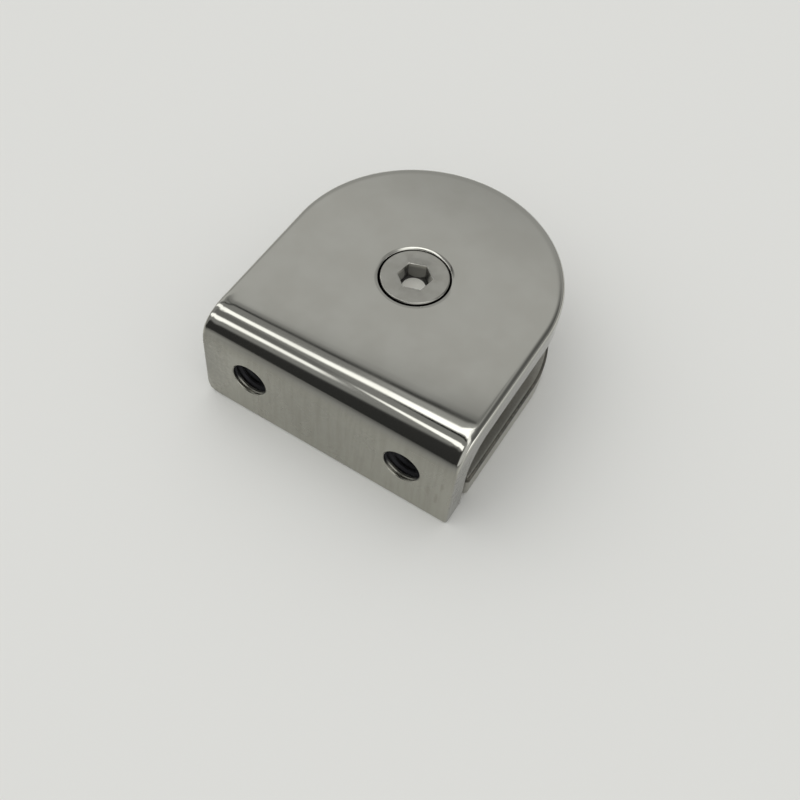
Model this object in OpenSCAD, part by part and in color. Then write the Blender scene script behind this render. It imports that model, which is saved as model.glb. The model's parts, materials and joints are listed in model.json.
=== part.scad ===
// Glass panel clamp with a D-shaped jaw.
// The fixing face with its two tapped holes is at -Y, and the round tip of the jaw at +Y.
// The glass enters the slot from +Y, and the clamp screw draws the pressure plate up to it.
// The origin is at the middle of the footprint, on the surface that the clamp rests on.

/* [Outline] */
// Width across the straight sides
width = 50; // [44:1:60]
// Depth from the fixing face to the round tip
depth = 55; // [50:1:70]
// Height from the bottom of the web to the top of the jaw
height = 20; // [18:0.5:26]

/* [Clamp body] */
// Thickness of the upper plate
plate_t = 5; // [4:0.25:6]
// Thickness of the upright web
web_t = 4.8; // [4:0.1:6]
// Radius of the outside corner, where the plate turns down into the web
corner_r = 5.5; // [4:0.25:7]
// Radius of the fillet inside that corner
fillet_r = 6; // [3:0.5:7]
// Rounding of the polished outer edges
edge_r = 1; // [0.4:0.1:1.4]
// Rounding of the edges round the slot
mouth_r = 0.4; // [0.2:0.1:0.8]

/* [Fixing holes] */
// Distance between the two tapped holes
hole_spacing = 30.6; // [20:0.2:32]
// Minor diameter of their thread
hole_d = 6.8; // [5:0.1:7]
// Height of their centres
hole_z = 9.8; // [9:0.1:11]

/* [Pressure plate] */
// Thickness of the pressure plate
lower_t = 5; // [4:0.25:6]
// Gap between the web and the straight edge of the pressure plate
lower_gap = 1.8; // [1:0.1:4]
// Rounding of the pressure plate's edges
lower_edge_r = 0.7; // [0.3:0.1:1.2]

/* [Clamp screw] */
// Distance from the fixing face to the screw's axis
screw_from_face = 28.3; // [26:0.1:32]
// Diameter of the screw's thread
screw_d = 8; // [6:0.5:8]
// Diameter of the screw's head
head_d = 12.2; // [11:0.1:13]
// Height of the head
head_h = 3; // [2.4:0.1:3]
// Depth of the head's top below the plate
head_sink = 0.4; // [0.1:0.1:0.6]
// Width across the flats of the hex socket
socket_af = 5.4; // [4:0.1:6]
// Depth of the hex socket
socket_depth = 3.4; // [2:0.1:4]
// Angle of the socket's first corner
socket_turn = 20; // [0:1:60]

/* [Hidden] */
$fn = 96;

polished_steel = [0.62, 0.61, 0.58];
plain_steel = [0.50, 0.50, 0.48];
screw_steel = [0.66, 0.65, 0.62];

front_y = -depth / 2;
tip_y = depth / 2 - width / 2;
plate_z = height - plate_t;
web_back_y = front_y + web_t;
// Lines where the fillet runs out into the back of the web and the underside of the plate
fillet_z = plate_z - fillet_r;
fillet_y = web_back_y + fillet_r;
screw_y = front_y + screw_from_face;
lower_front_y = web_back_y + lower_gap;

counterbore_d = head_d + 0.6;
counterbore_z = height - head_sink - head_h;
counterbore_break = 0.2;
shank_hole_d = screw_d + 0.8;
hole_break = 0.1;
// Radial clearance of the screw in the pressure plate
thread_clearance = 0.05;
head_break = 0.3;
screw_end_break = 0.8;
screw_end_z = 0.3;
// Drill point at the bottom of the hex socket
drill_d = socket_af - 0.6;
drill_h = 0.8;
// How far a cutter passes beyond the face that it cuts
over = 1;

// Bar of width w standing on the X axis, its two upper corners rounded by r
module rounded_end(w, h, r) {
    if (h > r)
        translate([-w / 2, 0])
            square([w, h - r]);
    translate([r - w / 2, 0])
        square([w - 2 * r, h]);
    for (side = [-1, 1])
        translate([side * (w / 2 - r), h - r])
            circle(r);
}

// The same bar with its lower corners rounded too, by low_r
module bar_section(w, h, top_r, low_r) {
    translate([0, h / 2]) {
        rounded_end(w, h / 2, top_r);
        mirror([0, 1])
            rounded_end(w, h / 2, low_r);
    }
}

// Runs an upright section along the Y axis
module along_y(from_y, to_y) {
    translate([0, to_y, 0])
        rotate([90, 0, 0])
            linear_extrude(to_y - from_y)
                children();
}

// Carries the rounded rims round a quarter turn of radius r about an axis along X
module quarter_turn(y, z, r, start) {
    translate([0, y, z])
        rotate([0, -90, 0])
            rotate([0, 0, start])
                rotate_extrude(angle = 90)
                    intersection() {
                        rotate([0, 0, -90])
                            rounded_end(width, r, edge_r);
                        translate([0, -width])
                            square([r + over, 2 * width]);
                    }
}

// D-shaped plate with rounded rims, its straight sides starting at from_y
module d_plate(from_y, t, top_r, low_r) {
    along_y(from_y, tip_y)
        bar_section(width, t, top_r, low_r);
    translate([0, tip_y, 0])
        rotate_extrude(angle = 180)
            intersection() {
                bar_section(width, t, top_r, low_r);
                translate([0, -over])
                    square([width, t + 2 * over]);
            }
}

// Block where the plate turns down into the web, round outside and filleted inside
module corner_block() {
    difference() {
        union() {
            translate([0, 0, fillet_z])
                along_y(front_y + corner_r, fillet_y)
                    rounded_end(width, height - fillet_z, edge_r);
            translate([0, 0, fillet_z])
                linear_extrude(height - corner_r - fillet_z)
                    translate([0, fillet_y])
                        mirror([0, 1])
                            rounded_end(width, fillet_y - front_y, edge_r);
            quarter_turn(front_y + corner_r, height - corner_r, corner_r, 270);
        }
        fillet_cutter();
    }
}

// Round bar that leaves the fillet, flared at its ends to round the slot's mouth
module fillet_cutter() {
    translate([0, fillet_y, fillet_z])
        rotate([0, 90, 0])
            rotate_extrude()
                difference() {
                    translate([0, -width / 2 - over])
                        square([fillet_r + mouth_r, width + 2 * over]);
                    rotate([0, 0, 90])
                        translate([0, -fillet_r - mouth_r - over])
                            rounded_end(width, mouth_r + over, mouth_r);
                }
}

// Upright web, rounded at its foot, with the slot's back face behind it
module web() {
    translate([0, 0, edge_r])
        linear_extrude(fillet_z - edge_r)
            web_plan();
    intersection() {
        union() {
            along_y(front_y + edge_r, web_back_y)
                translate([0, 2 * edge_r])
                    mirror([0, 1])
                        rounded_end(width, 2 * edge_r, edge_r);
            quarter_turn(front_y + edge_r, edge_r, edge_r, 180);
        }
        linear_extrude(edge_r)
            web_plan();
    }
}

module web_plan() {
    translate([0, front_y])
        bar_section(width, web_t, mouth_r, edge_r);
}

// Tapped hole through the web, broken at its mouth
module fixing_hole() {
    translate([0, front_y, hole_z])
        rotate([-90, 0, 0]) {
            translate([0, 0, -over])
                cylinder(d = hole_d, h = web_t + fillet_r + over);
            cylinder(d1 = hole_d + 2 * hole_break, d2 = hole_d, h = hole_break);
        }
}

// Counterbore for the screw's head, and the hole for its shank
module screw_seat() {
    translate([0, screw_y, 0]) {
        translate([0, 0, counterbore_z])
            cylinder(d = counterbore_d, h = height);
        translate([0, 0, height - counterbore_break])
            cylinder(d1 = counterbore_d, d2 = counterbore_d + 2 * counterbore_break, h = counterbore_break);
        translate([0, 0, plate_z - over])
            cylinder(d = shank_hole_d, h = height);
    }
}

module clamp_body() {
    color(polished_steel)
        difference() {
            union() {
                translate([0, 0, plate_z])
                    d_plate(fillet_y, plate_t, edge_r, mouth_r);
                corner_block();
                web();
            }
            for (side = [-1, 1])
                translate([side * hole_spacing / 2, 0, 0])
                    fixing_hole();
            screw_seat();
        }
}

module pressure_plate() {
    color(plain_steel)
        difference() {
            intersection() {
                d_plate(lower_front_y, lower_t, lower_edge_r, lower_edge_r);
                linear_extrude(lower_t)
                    translate([0, depth / 2 + over])
                        mirror([0, 1])
                            rounded_end(width + over, depth / 2 + over - lower_front_y, lower_edge_r);
            }
            translate([0, screw_y, -over])
                cylinder(d = screw_d + 2 * thread_clearance, h = lower_t + 2 * over);
        }
}

module clamp_screw() {
    color(screw_steel)
        translate([0, screw_y, 0])
            difference() {
                union() {
                    translate([0, 0, counterbore_z])
                        broken_cylinder(head_d, head_h, head_break);
                    translate([0, 0, counterbore_z])
                        mirror([0, 0, 1])
                            broken_cylinder(screw_d, counterbore_z - screw_end_z, screw_end_break);
                }
                hex_socket();
            }
}

// Upright cylinder with its upper edge chamfered
module broken_cylinder(d, h, edge) {
    cylinder(d = d, h = h - edge);
    translate([0, 0, h - edge])
        cylinder(d1 = d, d2 = d - 2 * edge, h = edge);
}

module hex_socket() {
    translate([0, 0, height - head_sink - socket_depth]) {
        rotate([0, 0, socket_turn])
            cylinder(d = socket_af / cos(30), h = socket_depth + over, $fn = 6);
        translate([0, 0, -drill_h])
            cylinder(d1 = 0, d2 = drill_d, h = drill_h);
    }
}

clamp_body();
pressure_plate();
clamp_screw();
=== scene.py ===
# %% [markdown]
# # A glass panel clamp in polished steel
#
# The clamp holds the edge of a glass panel. A cast body carries the round upper jaw and turns
# down into a tapped fixing face, a loose pressure plate lies under the glass, and one screw with
# a hexagon socket draws the two together. The drawing of those three pieces, with their real
# sizes and the way they move, comes in as a frame. This file gives them their surfaces.

# %% Load the frame
import json
import math
import bmesh
import bpy
from mathutils import Matrix, Vector


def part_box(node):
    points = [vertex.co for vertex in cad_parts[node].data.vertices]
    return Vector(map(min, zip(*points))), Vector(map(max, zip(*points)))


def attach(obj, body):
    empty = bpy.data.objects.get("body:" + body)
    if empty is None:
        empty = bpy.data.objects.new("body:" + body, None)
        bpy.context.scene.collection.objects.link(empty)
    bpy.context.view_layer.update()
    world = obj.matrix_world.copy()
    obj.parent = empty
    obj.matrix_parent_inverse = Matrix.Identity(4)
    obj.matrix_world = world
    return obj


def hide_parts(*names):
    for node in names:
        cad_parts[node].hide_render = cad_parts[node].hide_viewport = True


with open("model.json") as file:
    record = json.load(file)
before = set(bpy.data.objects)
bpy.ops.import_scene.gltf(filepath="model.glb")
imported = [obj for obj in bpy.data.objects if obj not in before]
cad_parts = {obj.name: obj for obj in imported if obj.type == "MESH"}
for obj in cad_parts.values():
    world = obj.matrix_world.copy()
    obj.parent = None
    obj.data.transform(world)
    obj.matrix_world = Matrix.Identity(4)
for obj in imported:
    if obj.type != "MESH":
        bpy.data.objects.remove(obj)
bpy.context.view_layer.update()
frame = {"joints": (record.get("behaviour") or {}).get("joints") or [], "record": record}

MM = 0.001

# %% [markdown]
# ## Sizes from the drawing
#
# A maker works from a few driving sizes, and so does this file. The outline, the heights, the
# fixing holes and the screw's place are read from the frame. They could be typed in again here,
# but then a change in the drawing would leave the surfaces behind.

# %% Sizes read from the frame
body_low, body_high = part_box("clamp_body")
plate_low, plate_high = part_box("pressure_plate")
screw_low, screw_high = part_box("clamp_screw")
half_width = body_high.x
front_y = body_low.y
top_z = body_high.z
tip_y = body_high.y - half_width
screw_joint = next(joint for joint in frame["joints"] if joint["name"] == "screw_turn")
screw_y = screw_joint["pos_m"][1]
fixing = next(mount for mount in frame["record"]["mounts"] if mount["name"] == "fixing_holes")
hole_x = fixing["dims"]["spacing_x_mm"] / 2 * MM
hole_z = fixing["pos_m"][2]
print("round tip about y =", round(tip_y / MM, 2), "mm, screw axis at y =", round(screw_y / MM, 2), "mm")

# %% [markdown]
# ## Sizes of walls, radii and roundings
#
# A box round a piece doesn't tell its wall thickness, its radii or its clearances, so those few
# are written down here, in metres. A spread is the width over which a polishing wheel has blended
# an edge into the faces beside it. It is wider than the radius that the drawing asks for.

# %% Sizes that the drawing keeps to itself
jaw_thickness = 5 * MM
web_thickness = 4.8 * MM
corner_radius = 5.5 * MM
corner_spread = (7.1 * MM, 9.5 * MM)
fillet_radius = 6 * MM
rim_spread = 1.8 * MM
web_rim_spread = 0.8 * MM
mouth_spread = 0.5 * MM
foot_spread = 4.8 * MM
plate_rim_radius = 0.7 * MM
counterbore_radius = 6.4 * MM
shank_hole_radius = 4.4 * MM
head_radius = 6.1 * MM
head_height = 3 * MM
socket_across_flats = 5.4 * MM
socket_depth = 3.4 * MM
socket_turn = math.radians(20)
jaw_z = top_z - jaw_thickness
web_back_y = front_y + web_thickness
head_seat_z = screw_high.z - head_height
print("slot from", round(plate_high.z / MM, 2), "to", round(jaw_z / MM, 2), "mm high")

# %% [markdown]
# ## The camera
#
# The view is a hand-held one from the front right, looking steeply down. The camera is placed by
# its bearing, its height angle and its distance from a point on the front of the clamp, which are
# easier to imagine than a position. A small shift of the lens moves the clamp within the frame.

# %% Camera
view_bearing = math.radians(33.477)
view_height = math.radians(56.779)
view_roll = math.radians(0.596)
view_distance = 177.708 * MM
view_target = Vector((-1.51 * MM, front_y, 10 * MM))
view_lens = 47.63
view_shift = (0.1058, 0.0222)


def add_camera():
    """A view from the front right, looking steeply down at the clamp."""
    data = bpy.data.cameras.new("camera")
    data.sensor_width = 36
    data.lens = view_lens
    data.shift_x, data.shift_y = view_shift
    data.clip_start = 10 * MM
    camera = bpy.data.objects.new("camera", data)
    bpy.context.scene.collection.objects.link(camera)
    reach = math.cos(view_height)
    away = Vector((
        reach * math.sin(view_bearing),
        -reach * math.cos(view_bearing),
        math.sin(view_height),
    ))
    turn = away.to_track_quat("Z", "Y").to_matrix() @ Matrix.Rotation(view_roll, 3, "Z")
    place = view_target + away * view_distance
    camera.matrix_world = Matrix.Translation(place) @ turn.to_4x4()
    bpy.context.scene.camera = camera
    return camera


camera = add_camera()
print("camera at", [round(v / MM, 1) for v in camera.matrix_world.translation], "mm")

# %% [markdown]
# ## Tools for meshes
#
# Every piece starts as a mesh of its own, drawn in the frame's metres with its object left at the
# origin, so that it can ride on a moving body without being carried twice. Modifiers do the work
# that a mill or a polishing wheel does on the real clamp, and are then turned into plain mesh.

# %% Small helpers for meshes
def new_piece(name, bm):
    """A mesh object at the origin, with its place in its mesh."""
    mesh = bpy.data.meshes.new(name)
    bm.normal_update()
    bm.to_mesh(mesh)
    bm.free()
    piece = bpy.data.objects.new(name, mesh)
    bpy.context.scene.collection.objects.link(piece)
    return piece


def arc(centre, radius, start, end, steps):
    """Points on an arc in a plane, from one angle in degrees to another."""
    angles = [math.radians(start + (end - start) * i / steps) for i in range(steps + 1)]
    return [(centre[0] + radius * math.cos(a), centre[1] + radius * math.sin(a)) for a in angles]


def bake_modifiers(piece):
    """Turns the evaluated piece into a plain mesh and takes its modifiers off."""
    graph = bpy.context.evaluated_depsgraph_get()
    mesh = bpy.data.meshes.new_from_object(piece.evaluated_get(graph), depsgraph=graph)
    piece.modifiers.clear()
    piece.data = mesh


def move_mesh(piece, matrix):
    """Moves the mesh and leaves the object at the origin."""
    piece.data.transform(matrix)
    piece.data.update()


def triangles(piece):
    piece.data.calc_loop_triangles()
    return len(piece.data.loop_triangles)


TIP_STEPS = 128
tip_points = arc((0, tip_y), half_width, 0, 180, TIP_STEPS)
print("the round tip is drawn with", len(tip_points), "points")

# %% [markdown]
# ## Lathe work
#
# The screw's head, the counterbore that takes it and the drill points are all lathe work. One
# function turns a half section round the vertical axis. A radius of 0 ends in a single point, so
# the solid is closed there and has no small hole at its pole.

# %% A turned solid
HEAD_STEPS = 128


def turned(name, profile, steps=96):
    """A lathe shape from (radius, height) points; a radius of 0 closes it with a pole."""
    bm = bmesh.new()
    rings = []
    for radius, z in profile:
        if radius == 0:
            rings.append([bm.verts.new((0, 0, z))])
            continue
        ring = arc((0, 0), radius, 0, 360, steps)[:-1]
        rings.append([bm.verts.new((x, y, z)) for x, y in ring])
    for low, high in zip(rings, rings[1:]):
        for i in range(steps):
            j = (i + 1) % steps
            if len(low) == 1:
                bm.faces.new((low[0], high[j], high[i]))
            elif len(high) == 1:
                bm.faces.new((low[i], low[j], high[0]))
            else:
                bm.faces.new((low[i], low[j], high[j], high[i]))
    return new_piece(name, bm)


sag = head_radius * (1 - math.cos(math.pi / HEAD_STEPS))
print("with", HEAD_STEPS, "steps the head's flats lie", round(sag / MM, 4), "mm inside its round")

# %% [markdown]
# ## Tools for node trees
#
# The thread is a rule in Geometry Nodes, and the surfaces and the light are rules in shader nodes.
# Building a tree in a script takes three moves over and over: adding an input, adding a node with
# its links, and doing a sum. Short functions for those keep the rules themselves readable.

# %% Small helpers for node trees
def tree_input(tree, name, kind, default=None):
    """A named input of a node group."""
    socket = tree.interface.new_socket(name, in_out="INPUT", socket_type=kind)
    if default is not None:
        socket.default_value = default
    return socket


def node(tree, kind, values=None, **settings):
    """Adds a node, sets its properties, and links or sets its inputs by name or number."""
    new = tree.nodes.new(kind)
    for key, value in settings.items():
        setattr(new, key, value)
    for key, value in (values or {}).items():
        if isinstance(value, bpy.types.NodeSocket):
            tree.links.new(value, new.inputs[key])
        else:
            new.inputs[key].default_value = value
    return new


def maths(tree, operation, first, second=0.0, third=0.0):
    """One sum, such as ADD or POWER, of sockets or numbers."""
    values = {0: first, 1: second, 2: third}
    return node(tree, "ShaderNodeMath", values, operation=operation).outputs[0]


def fold(tree, operation, values):
    """The same sum carried along a list, such as the largest of several masks."""
    result = values[0]
    for value in values[1:]:
        result = maths(tree, operation, result, value)
    return result


print("node groups so far:", len(bpy.data.node_groups))

# %% [markdown]
# ## The V of the thread
#
# The clamp has an M8 thread in four places: on the screw, in the pressure plate and in the two
# fixing holes. All of them follow one rule, a 60 degree V with a pitch of 1.25 mm. The place
# within one pitch gives the radius. A thread starts shallow, as a tap or a die leaves it, and
# that is the lead-in. A swept V could make it too, but a sum for the radius has no seams.

# %% Radius of the thread
PITCH = 1.25 * MM
ROWS_PER_PITCH = 16


def thread_radius(tree, given, along, height):
    """A crest P/8 wide, a root P/4 wide and 30 degree flanks, shallow near both ends."""
    wave = maths(tree, "PINGPONG", along, 0.5)
    groove = node(tree, "ShaderNodeMapRange", {"Value": wave, "From Min": 1 / 16, "From Max": 6 / 16})
    depth = maths(tree, "SUBTRACT", given["Crest Radius"], given["Root Radius"])
    below_crest = maths(tree, "MULTIPLY", groove.outputs["Result"], depth)
    radius = maths(tree, "SUBTRACT", given["Crest Radius"], below_crest)
    to_end = maths(tree, "MINIMUM", height, maths(tree, "SUBTRACT", given["Length"], height))
    lead = maths(tree, "DIVIDE", maths(tree, "MULTIPLY", to_end, depth), given["Lead In"])
    return maths(tree, "MINIMUM", radius, maths(tree, "ADD", given["Root Radius"], lead))


print("rows of the thread are", round(PITCH / ROWS_PER_PITCH / MM, 3), "mm apart")

# %% [markdown]
# ## The thread as a rule
#
# The rule bends a flat sheet into a rod: across the sheet goes the turn about the axis, and along
# it the climb. Two discs close the ends, and one merge joins them to the wall. Because it is a
# group of Geometry Nodes with named inputs, every thread on the clamp comes from the same tree.

# %% A thread as a rule
def thread_tree():
    """A rod with a thread along its whole length, standing on the XY plane."""
    tree = bpy.data.node_groups.new("screw_thread", "GeometryNodeTree")
    for label, size in (
        ("Crest Radius", 4 * MM), ("Root Radius", 3.4 * MM), ("Pitch", PITCH),
        ("Length", 10 * MM), ("Lead In", 0.6 * MM),
    ):
        tree_input(tree, label, "NodeSocketFloat", size)
    tree_input(tree, "Steps", "NodeSocketInt", 64)
    tree_input(tree, "Steel", "NodeSocketMaterial")
    tree.interface.new_socket("Geometry", in_out="OUTPUT", socket_type="NodeSocketGeometry")
    given = tree.nodes.new("NodeGroupInput").outputs

    turns = maths(tree, "ADD", maths(tree, "CEIL", maths(tree, "DIVIDE", given["Length"], given["Pitch"])), 1)
    sheet = node(tree, "GeometryNodeMeshGrid", {
        "Size X": 1.0, "Size Y": 1.0,
        "Vertices X": maths(tree, "ADD", given["Steps"], 1),
        "Vertices Y": maths(tree, "MULTIPLY_ADD", turns, ROWS_PER_PITCH, 1),
    })
    place = node(tree, "ShaderNodeSeparateXYZ", {0: node(tree, "GeometryNodeInputPosition").outputs[0]})
    around = maths(tree, "ADD", place.outputs["X"], 0.5)
    along = maths(tree, "MULTIPLY", maths(tree, "ADD", place.outputs["Y"], 0.5), turns)
    rise = maths(tree, "SUBTRACT", maths(tree, "ADD", along, around), 1)
    height = maths(tree, "MULTIPLY", rise, given["Pitch"])
    height = maths(tree, "MINIMUM", maths(tree, "MAXIMUM", height, 0), given["Length"])
    radius = thread_radius(tree, given, along, height)
    angle = maths(tree, "MULTIPLY", around, math.tau)
    spot = node(tree, "ShaderNodeCombineXYZ", {
        "X": maths(tree, "MULTIPLY", radius, maths(tree, "COSINE", angle)),
        "Y": maths(tree, "MULTIPLY", radius, maths(tree, "SINE", angle)),
        "Z": height,
    }).outputs[0]
    wall = node(tree, "GeometryNodeSetPosition", {"Geometry": sheet.outputs[0], "Position": spot})

    disc_size = {"Vertices": given["Steps"], "Radius": given["Root Radius"]}
    disc = node(tree, "GeometryNodeMeshCircle", disc_size, fill_type="NGON").outputs[0]
    lid_place = node(tree, "ShaderNodeCombineXYZ", {"Z": given["Length"]}).outputs[0]
    lid = node(tree, "GeometryNodeTransform", {"Geometry": disc, "Translation": lid_place})
    foot = node(tree, "GeometryNodeFlipFaces", {"Mesh": disc})
    joined = tree.nodes.new("GeometryNodeJoinGeometry")
    for part in (wall, lid, foot):
        tree.links.new(part.outputs[0], joined.inputs[0])
    merged = node(tree, "GeometryNodeMergeByDistance", {
        "Geometry": joined.outputs[0], "Distance": 0.002 * MM,
    })
    real = node(tree, "GeometryNodeRealizeInstances", {"Geometry": merged.outputs[0]})
    steel = node(tree, "GeometryNodeSetMaterial", {"Geometry": real.outputs[0], "Material": given["Steel"]})
    node(tree, "NodeGroupOutput", {"Geometry": steel.outputs[0]})
    return tree


thread_rule = thread_tree()
print("the thread rule has", len(thread_rule.nodes), "nodes")

# %% [markdown]
# ## Rods from the rule
#
# The same rod serves twice: as the screw's shank, and as the tap that cuts a thread into a hole.
# A modifier's input is set by its identifier and not by its name, so the two are looked up once.
# The result is turned into plain mesh, because the cuts that follow need one.

# %% A threaded rod
thread_keys = {item.name: item.identifier for item in thread_rule.interface.items_tree}


def threaded_rod(name, crest, root, length, lead_in=0.6 * MM):
    """Runs the thread rule once and hands back its plain mesh."""
    rod = new_piece(name, bmesh.new())
    modifier = rod.modifiers.new("thread", "NODES")
    modifier.node_group = thread_rule
    sizes = {"Crest Radius": crest, "Root Radius": root, "Length": length, "Lead In": lead_in}
    for label, value in sizes.items():
        modifier[thread_keys[label]] = value
    bake_modifiers(rod)
    print(name, "has", triangles(rod), "triangles")
    return rod


print("sizes of the rule:", [name for name in thread_keys if name != "Geometry"])

# %% [markdown]
# ## Cutting
#
# Holes are cut the way they are made: a tool of the hole's shape is taken out of the solid, with
# the exact solver, which keeps the result closed. It leaves a few points almost on top of each
# other where two edges meet, and a weld joins those afterwards.

# %% Cutting one solid from another
WELD = 0.001 * MM


def weld(piece):
    """Joins points that lie very close together, and drops faces with no area."""
    bm = bmesh.new()
    bm.from_mesh(piece.data)
    bmesh.ops.remove_doubles(bm, verts=bm.verts, dist=WELD)
    bmesh.ops.dissolve_degenerate(bm, dist=WELD, edges=bm.edges)
    bm.to_mesh(piece.data)
    bm.free()


def cut(piece, tools):
    """Cuts each tool out of the piece, welds the new edges and throws the tool away."""
    for tool in tools:
        modifier = piece.modifiers.new("cut", "BOOLEAN")
        modifier.operation = "DIFFERENCE"
        modifier.solver = "EXACT"
        modifier.object = tool
    bake_modifiers(piece)
    weld(piece)
    for tool in tools:
        bpy.data.objects.remove(tool)


print("points within", round(WELD / MM, 4), "mm of each other are welded")

# %% [markdown]
# ## Smooth shading
#
# Polished faces are shaded smooth, although they are made of flat ones. Plain smooth shading would
# tilt the light on the big flat faces near their rims. Weighted normals let the big faces win, so
# they stay flat up to where the rounding really starts.

# %% Smooth faces
SHARP_ANGLE = 35


def shade(piece):
    """Smooth shading in which flat faces stay flat up to their rounded rims."""
    for face in piece.data.polygons:
        face.use_smooth = True
    piece.data.set_sharp_from_angle(angle=math.radians(SHARP_ANGLE))
    modifier = piece.modifiers.new("weighted normals", "WEIGHTED_NORMAL")
    modifier.keep_sharp = True
    modifier.weight = 100
    bake_modifiers(piece)


print("edges over", SHARP_ANGLE, "degrees stay sharp")

# %% [markdown]
# ## The polished corner
#
# What gives this clamp away is the long corner where the jaw turns down into the web. A corner
# straight from a drawing has a plain radius, and lights in it would make bands with hard ends. A
# polishing wheel works beyond the radius and blends it into the flats. So the corner is drawn
# with a superellipse, which starts early and still passes through the middle of the plain radius.

# %% The polished corner
def polished_corner(spread, steps=64):
    """Points from the jaw's top to the web's face, as (distance from the face, depth below the top)."""
    middle = corner_radius * (1 - math.sqrt(0.5)) / spread
    power = math.log(0.5) / math.log(1 - middle)
    points = []
    for i in range(steps + 1):
        angle = math.pi / 2 * i / steps
        across = spread * math.sin(angle) ** (2 / power)
        up = spread * math.cos(angle) ** (2 / power)
        points.append((spread - across, spread - up))
    return points


print("corner starts", [round(spread / MM, 1) for spread in corner_spread], "mm behind the face")

# %% [markdown]
# ## The blank of the clamp body
#
# The body is cast in one and then ground and polished, so it is one mesh here too. The side view
# is carried across the width, and the round tip is added to the jaw. The rounding looks wider on
# the right than on the left, so the corner goes from one spread to the other on the way. An
# extrusion couldn't do that, which is why the faces are laid one by one.

# %% The blank of the clamp body
def body_outline(spread):
    """The side view, anticlockwise from under the jaw's tip, with y to the right and z up."""
    outline = [(tip_y, jaw_z), (tip_y, top_z)]
    outline += [(front_y + out, top_z - down) for out, down in polished_corner(spread)]
    outline += [(front_y, 0), (web_back_y, 0)]
    fillet = (web_back_y + fillet_radius, jaw_z - fillet_radius)
    outline += arc(fillet, fillet_radius, 180, 90, 32)
    return outline


def body_blank():
    """The side view carried across the width, with the round tip added to the jaw."""
    bm = bmesh.new()
    left_spread, right_spread = corner_spread
    right = [bm.verts.new((half_width, y, z)) for y, z in body_outline(right_spread)]
    left = [bm.verts.new((-half_width, y, z)) for y, z in body_outline(left_spread)]
    bm.faces.new(right)
    bm.faces.new(list(reversed(left)))
    for i in range(2, len(right) - 1):
        bm.faces.new((right[i], left[i], left[i + 1], right[i + 1]))
    tip = tip_points[1:-1]
    high = [right[1]] + [bm.verts.new((x, y, top_z)) for x, y in tip] + [left[1]]
    low = [right[0]] + [bm.verts.new((x, y, jaw_z)) for x, y in tip] + [left[0]]
    for i in range(len(high) - 1):
        bm.faces.new((low[i], low[i + 1], high[i + 1], high[i]))
    bm.faces.new(high + [left[2], right[2]])
    bm.faces.new([left[-1]] + list(reversed(low)) + [right[-1]])
    bm.normal_update()
    return bm


body_bm = body_blank()
print("blank of the clamp body has", len(body_bm.faces), "faces")

# %% [markdown]
# ## The rounded rims
#
# The wheel rounds the jaw's rim most, the web's ends and foot less, and hardly touches the edges
# round the slot. The left end of the foot is rounded much wider. One Bevel modifier does all of
# that. Each edge carries its own share of the width, and the share falls off gradually down the
# corner. The profile is fuller than a circle, for the same reason as the corner's.

# %% Rims of the clamp body
HAIR = 0.01 * MM
EDGE_ANGLE = 30


def weigh_edges(bm, weight_of):
    """Marks each edge between tilted faces with its share of the Bevel modifier's width."""
    layer = bm.edges.layers.float.new("bevel_weight_edge")
    for edge in bm.edges:
        if edge.calc_face_angle(0) > math.radians(EDGE_ANGLE):
            edge[layer] = weight_of(edge)


def body_edge_weight(edge):
    """The jaw's rim is rounded most, the web's less and the edges round the slot least."""
    middle = (edge.verts[0].co + edge.verts[1].co) / 2
    if middle.y > web_back_y - HAIR and middle.z < jaw_z + HAIR:
        return mouth_spread / rim_spread
    if middle.z < HAIR and middle.x < -half_width + HAIR:
        return foot_spread / rim_spread
    down_the_corner = min(1, (top_z - middle.z) / corner_radius)
    if middle.x < 0:
        down_the_corner = min(1, 2 * down_the_corner)
    return 1 + down_the_corner * (web_rim_spread / rim_spread - 1)


def round_edges(piece, width, segments, profile=0.5):
    """Rounds the marked edges; a profile of 0.5 is a circle."""
    modifier = piece.modifiers.new("rounded edges", "BEVEL")
    modifier.limit_method = "WEIGHT"
    modifier.width = width
    modifier.segments = segments
    modifier.profile = profile
    modifier.use_clamp_overlap = False
    bake_modifiers(piece)


weigh_edges(body_bm, body_edge_weight)
clamp_body = new_piece("polished_clamp_body", body_bm)
round_edges(clamp_body, rim_spread, segments=10, profile=0.7)
print("rounded body has", triangles(clamp_body), "triangles")

# %% [markdown]
# ## The fixing holes
#
# The two fixing holes are drilled and tapped straight through the web. A tap is a threaded rod
# that starts at the web's face, so the thread begins shallow there. A countersink then just breaks
# the edge of each hole. Painting the threads on would be cheaper, but these holes are open to view
# and light catches their lower crests.

# %% Taps and countersinks
tap_length = web_thickness + fillet_radius + 4 * MM
tap_crest = 3.75 * MM
tap_lead = 1.4 * MM
tap_proud = 0.02 * MM
hole_radius = 3.4 * MM
mouth_break = 0.2 * MM


def into_web(piece, side, y):
    """Turns an upright tool to point into the web and moves it to a fixing hole."""
    place = Matrix.Translation((side * hole_x, y, hole_z))
    move_mesh(piece, place @ Matrix.Rotation(math.radians(-90), 4, "X"))
    return piece


def tap_for(side):
    """A tap that starts at the web's face, so that the thread begins shallow there."""
    tap = threaded_rod("tap", tap_crest, hole_radius, tap_length, tap_lead)
    return into_web(tap, side, front_y - tap_proud)


def mouth_for(side):
    """A countersink that just breaks the edge of the hole."""
    over = 1 * MM
    bore = hole_radius + 0.002 * MM
    end = mouth_break + 0.1 * MM
    profile = [(0, -over), (bore + mouth_break + over, -over), (bore, mouth_break), (bore, end), (0, end)]
    return into_web(turned("mouth", profile), side, front_y)


cut(clamp_body, [tap_for(-1), tap_for(1)])
cut(clamp_body, [mouth_for(-1), mouth_for(1)])
print("drilled and tapped body has", triangles(clamp_body), "triangles")

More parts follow.
